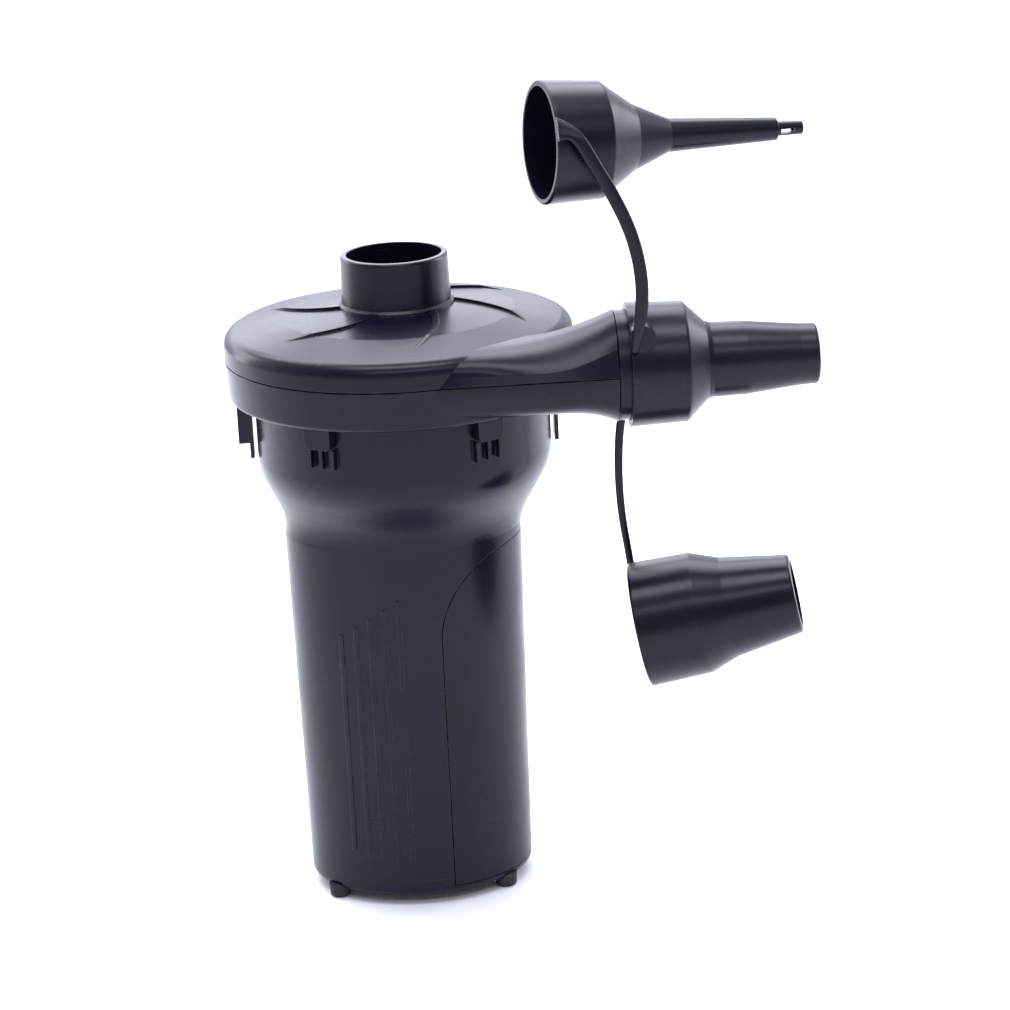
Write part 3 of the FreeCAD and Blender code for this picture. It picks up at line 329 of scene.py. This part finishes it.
FINISHES = {
    "shell": moulding("black_shell", (0.0014, 0.0014, 0.0078), (0.0030, 0.0030, 0.0115), 0.27),
    "grille": moulding("black_grille", (0.0020, 0.0020, 0.0040), (0.0040, 0.0040, 0.0065), 0.42),
    "nozzle": soft_moulding("black_nozzle", (0.0018, 0.0018, 0.0070), (0.0034, 0.0034, 0.0100), 0.28),
    "strap": soft_moulding("black_strap", (0.0022, 0.0022, 0.0065), (0.0038, 0.0038, 0.0090), 0.32),
    "foot_rubber": rubber("foot_rubber_look"),
    "switch_plastic": gloss_plastic("switch_gloss"),
    "inner_plastic": plain_plastic("inner_grey", (0.045, 0.046, 0.050), (0.070, 0.071, 0.076), 0.5),
    "impeller_plastic": plain_plastic("impeller_grey", (0.42, 0.43, 0.44), (0.55, 0.56, 0.57), 0.42),
    "plate": label("blank_plate"),
    "screw_steel": worked_metal("zinc_screw", (0.42, 0.42, 0.43), (0.60, 0.60, 0.62), 0.34,
                                (1, 1, 0.3), (0.25, 0.23, 0.20)),
    "contact_steel": worked_metal("spring_steel", (0.52, 0.52, 0.52), (0.72, 0.72, 0.72), 0.28,
                                  (0.1, 1, 1), (0.36, 0.32, 0.27)),
    "terminal_brass": worked_metal("brass", (0.55, 0.38, 0.14), (0.76, 0.56, 0.24), 0.28,
                                   (1, 1, 0.2), (0.30, 0.20, 0.09)),
    "motor_steel": worked_metal("drawn_steel", (0.42, 0.42, 0.44), (0.60, 0.60, 0.62), 0.32,
                                (1, 1, 0.08), (0.26, 0.25, 0.24)),
    "bearing_bronze": worked_metal("sintered_bronze", (0.36, 0.22, 0.09), (0.52, 0.34, 0.15), 0.42,
                                   (1, 1, 1), (0.18, 0.11, 0.06)),
    "magnet": powder_block("ferrite", (0.030, 0.030, 0.032), (0.055, 0.055, 0.058), 0.55, 1600),
    "carbon": powder_block("pressed_carbon", (0.020, 0.020, 0.021), (0.040, 0.039, 0.038), 0.5, 2600, 0.2),
    "battery_can": battery_wrap("cell_wrap"),
    "copper_wire": winding("enamelled_wire"),
}


def paint_cad_nodes():
    for part in frame["record"]["subparts"]:
        for held in frame["nodes"][part["node"]].material_slots:
            held.material = FINISHES[part["material_slot"]]


# ---------------------------------------------------------------- straps

# The straps' routes, from the collar of the medium nozzle to the nozzle that each one holds.
UPPER_STRAP = [
    (0.0713, -0.0560, 0.1918),
    (0.0722, -0.0580, 0.1965),
    (0.0742, -0.0586, 0.2090),
    (0.0735, -0.0589, 0.2200),
    (0.0708, -0.0590, 0.2310),
    (0.0656, -0.0590, 0.2425),
    (0.0606, -0.0588, 0.2515),
    (0.0570, -0.0582, 0.2584),
    (0.0537, -0.0568, 0.2613),
    (0.0490, -0.0559, 0.2616),
]
LOWER_STRAP = [
    (0.0738, -0.0194, 0.1764),
    (0.0734, -0.0172, 0.1712),
    (0.0696, -0.0172, 0.1610),
    (0.0681, -0.0170, 0.1460),
    (0.0684, -0.0168, 0.1290),
    (0.0708, -0.0168, 0.1120),
    (0.0724, -0.0176, 0.0990),
]
STRAP_SIDES = 24
SECTION_POWER = 0.7
PIN_RIM = Vector((0.0460, -0.0380, 0.2546))
PIN_AXIS = Vector((0.9735, 0.2247, -0.0419))


def smooth_line(points):
    """Points along the NURBS spline that has the route's points as its control points."""
    curve = bpy.data.curves.new("route", "CURVE")
    curve.dimensions = "3D"
    curve.resolution_u = 16
    spline = curve.splines.new("NURBS")
    spline.points.add(len(points) - 1)
    for point, place in zip(spline.points, points):
        point.co = (*place, 1)
    spline.order_u = 3
    spline.use_endpoint_u = True
    holder = bpy.data.objects.new("route", curve)
    mesh = bpy.data.meshes.new_from_object(holder)
    line = [vertex.co.copy() for vertex in mesh.vertices]
    bpy.data.objects.remove(holder)
    bpy.data.curves.remove(curve)
    bpy.data.meshes.remove(mesh)
    return line


def squared(part):
    """A cosine or sine pushed outwards, which turns a round section into one with fuller corners."""
    return math.copysign(abs(part) ** SECTION_POWER, part)


def eased(share):
    """0 before the share 0, 1 after the share 1, and a smooth step between them."""
    share = min(1.0, max(0.0, share))
    return share * share * (3 - 2 * share)


def strap_mesh(name, line, half_width, half_depth, facing, cut_at=None, cut_along=None):
    """A moulded strap: a rounded flat section along the line. half_width, half_depth and facing
    give the section's two half sizes and the way its flat side faces, at a share of the length.
    With cut_at, what lies behind the plane through that point is cut off and the end is closed."""
    mesh = bmesh.new()
    rings = []
    for number, place in enumerate(line):
        share = number / (len(line) - 1)
        before, after = line[max(number - 1, 0)], line[min(number + 1, len(line) - 1)]
        along = (after - before).normalized()
        side = facing(share).cross(along).normalized()
        out = along.cross(side)
        ring = []
        for step in range(STRAP_SIDES):
            angle = 2 * math.pi * step / STRAP_SIDES
            across = squared(math.cos(angle)) * half_width(share)
            up = squared(math.sin(angle)) * half_depth(share)
            ring.append(mesh.verts.new(place + across * side + up * out))
        rings.append(ring)
    for first, second in zip(rings, rings[1:]):
        for step in range(STRAP_SIDES):
            after = (step + 1) % STRAP_SIDES
            mesh.faces.new((first[step], first[after], second[after], second[step]))
    mesh.faces.new(list(reversed(rings[0])))
    mesh.faces.new(rings[-1])
    if cut_at is not None:
        bmesh.ops.bisect_plane(mesh, geom=mesh.verts[:] + mesh.edges[:] + mesh.faces[:], plane_co=cut_at,
                               plane_no=cut_along, clear_inner=True)
        bmesh.ops.holes_fill(mesh, edges=[edge for edge in mesh.edges if edge.is_boundary])
    bmesh.ops.recalc_face_normals(mesh, faces=mesh.faces)
    data = bpy.data.meshes.new(name)
    mesh.to_mesh(data)
    mesh.free()
    data.shade_smooth()
    piece = bpy.data.objects.new(name, data)
    bpy.context.collection.objects.link(piece)
    data.materials.append(FINISHES["strap"])
    return piece


def add_upper_strap():
    line = smooth_line(UPPER_STRAP)
    front = Vector((0, -1, 0))
    collar_out = Vector((0.226, -0.896, 0.377))

    def half_width(share):
        flare = max(0.0, (share - 0.80) / 0.20)
        return (1.15 + 0.9 * eased(share / 0.18) + 2.35 * flare ** 3) * MM
    strap = strap_mesh(
        "upper_strap_band", line, half_width,
        half_depth=lambda share: (1.5 - 0.2 * eased((share - 0.8) / 0.2)) * MM,
        facing=lambda share: front.lerp(collar_out, eased((share - 0.7) / 0.3)),
        cut_at=PIN_RIM, cut_along=PIN_AXIS)
    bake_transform(strap)
    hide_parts("upper_strap")


def add_lower_strap():
    line = smooth_line(LOWER_STRAP)
    strap = strap_mesh(
        "lower_strap_band", line,
        half_width=lambda share: (1.5 - 0.3 * eased(share)) * MM,
        half_depth=lambda share: 1.1 * MM,
        facing=lambda share: Vector((0, -1, 0)))
    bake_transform(strap)
    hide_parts("lower_strap")


# ---------------------------------------------------------------- studio

FRONT_LIGHT = 0.42
BACK_LIGHT = 1.75
AIR_TINT = (0.84, 0.86, 1.0, 1)
LAMP_TINT = (0.86, 0.88, 1.0)
LAMP_AIM = Vector((0.02, 0, 0.13))
FLOOR_REACH = 15.0

# name: (place, width, height, watts)
SOFTBOXES = {
    "softbox_top": ((-0.1, 0.7, 1.2), 1.4, 0.7, 18),
    "softbox_above": ((0.0, -0.3, 1.35), 1.0, 0.4, 9),
    "softbox_back": ((-0.4, 1.3, 0.7), 1.6, 0.5, 7),
    "softbox_front": ((0.15, -0.95, 1.0), 1.2, 0.22, 3.5),
    "softbox_left": ((-1.1, 0.75, 0.35), 0.4, 1.0, 7),
    "softbox_right": ((1.15, 0.55, 0.35), 0.5, 1.0, 9),
}


def floor_finish():
    f = Finish("studio_floor")
    tone = f.blend(f.spread(f.noise(3, 3), 0.3, 0.7), (0.90, 0.90, 0.90), (0.93, 0.93, 0.93))
    f.bump(f.noise(60, 3), 0.1 * MM, 0.1)
    return f.finish(tone, f.spread(f.noise(8, 3), 0.3, 0.7, 0.7, 0.85))


def add_floor():
    mesh = bpy.data.meshes.new("studio_floor")
    corners = [(x * FLOOR_REACH, y * FLOOR_REACH, 0) for x, y in ((-1, -1), (1, -1), (1, 1), (-1, 1))]
    mesh.from_pydata(corners, [], [(0, 1, 2, 3)])
    mesh.materials.append(floor_finish())
    floor = bpy.data.objects.new("studio_floor", mesh)
    bpy.context.collection.objects.link(floor)


def add_softbox(name, place, width, height, watts):
    light = bpy.data.lights.new(name, "AREA")
    light.shape = "RECTANGLE"
    light.size = width
    light.size_y = height
    light.energy = watts
    light.color = LAMP_TINT
    holder = bpy.data.objects.new(name, light)
    holder.location = place
    aim = LAMP_AIM - Vector(place)
    holder.rotation_euler = aim.to_track_quat("-Z", "Y").to_euler()
    bpy.context.collection.objects.link(holder)


def add_studio():
    world = bpy.data.worlds.new("studio")
    world.use_nodes = True
    nodes, links = world.node_tree.nodes, world.node_tree.links
    sky = nodes["Background"]
    sky.inputs["Color"].default_value = AIR_TINT
    direction = nodes.new("ShaderNodeSeparateXYZ")
    links.new(nodes.new("ShaderNodeTexCoord").outputs["Generated"], direction.inputs["Vector"])
    fade = nodes.new("ShaderNodeMapRange")
    fade.interpolation_type = "SMOOTHSTEP"
    ramp = {"From Min": -0.7, "From Max": 0.5, "To Min": FRONT_LIGHT, "To Max": BACK_LIGHT}
    for name, value in ramp.items():
        fade.inputs[name].default_value = value
    links.new(direction.outputs["Y"], fade.inputs["Value"])
    links.new(fade.outputs["Result"], sky.inputs["Strength"])
    bpy.context.scene.world = world
    bpy.context.scene.view_settings.view_transform = "Standard"
    for name, (place, width, height, watts) in SOFTBOXES.items():
        add_softbox(name, place, width, height, watts)


add_camera()
paint_cad_nodes()
add_upper_strap()
add_lower_strap()
add_floor()
add_studio()
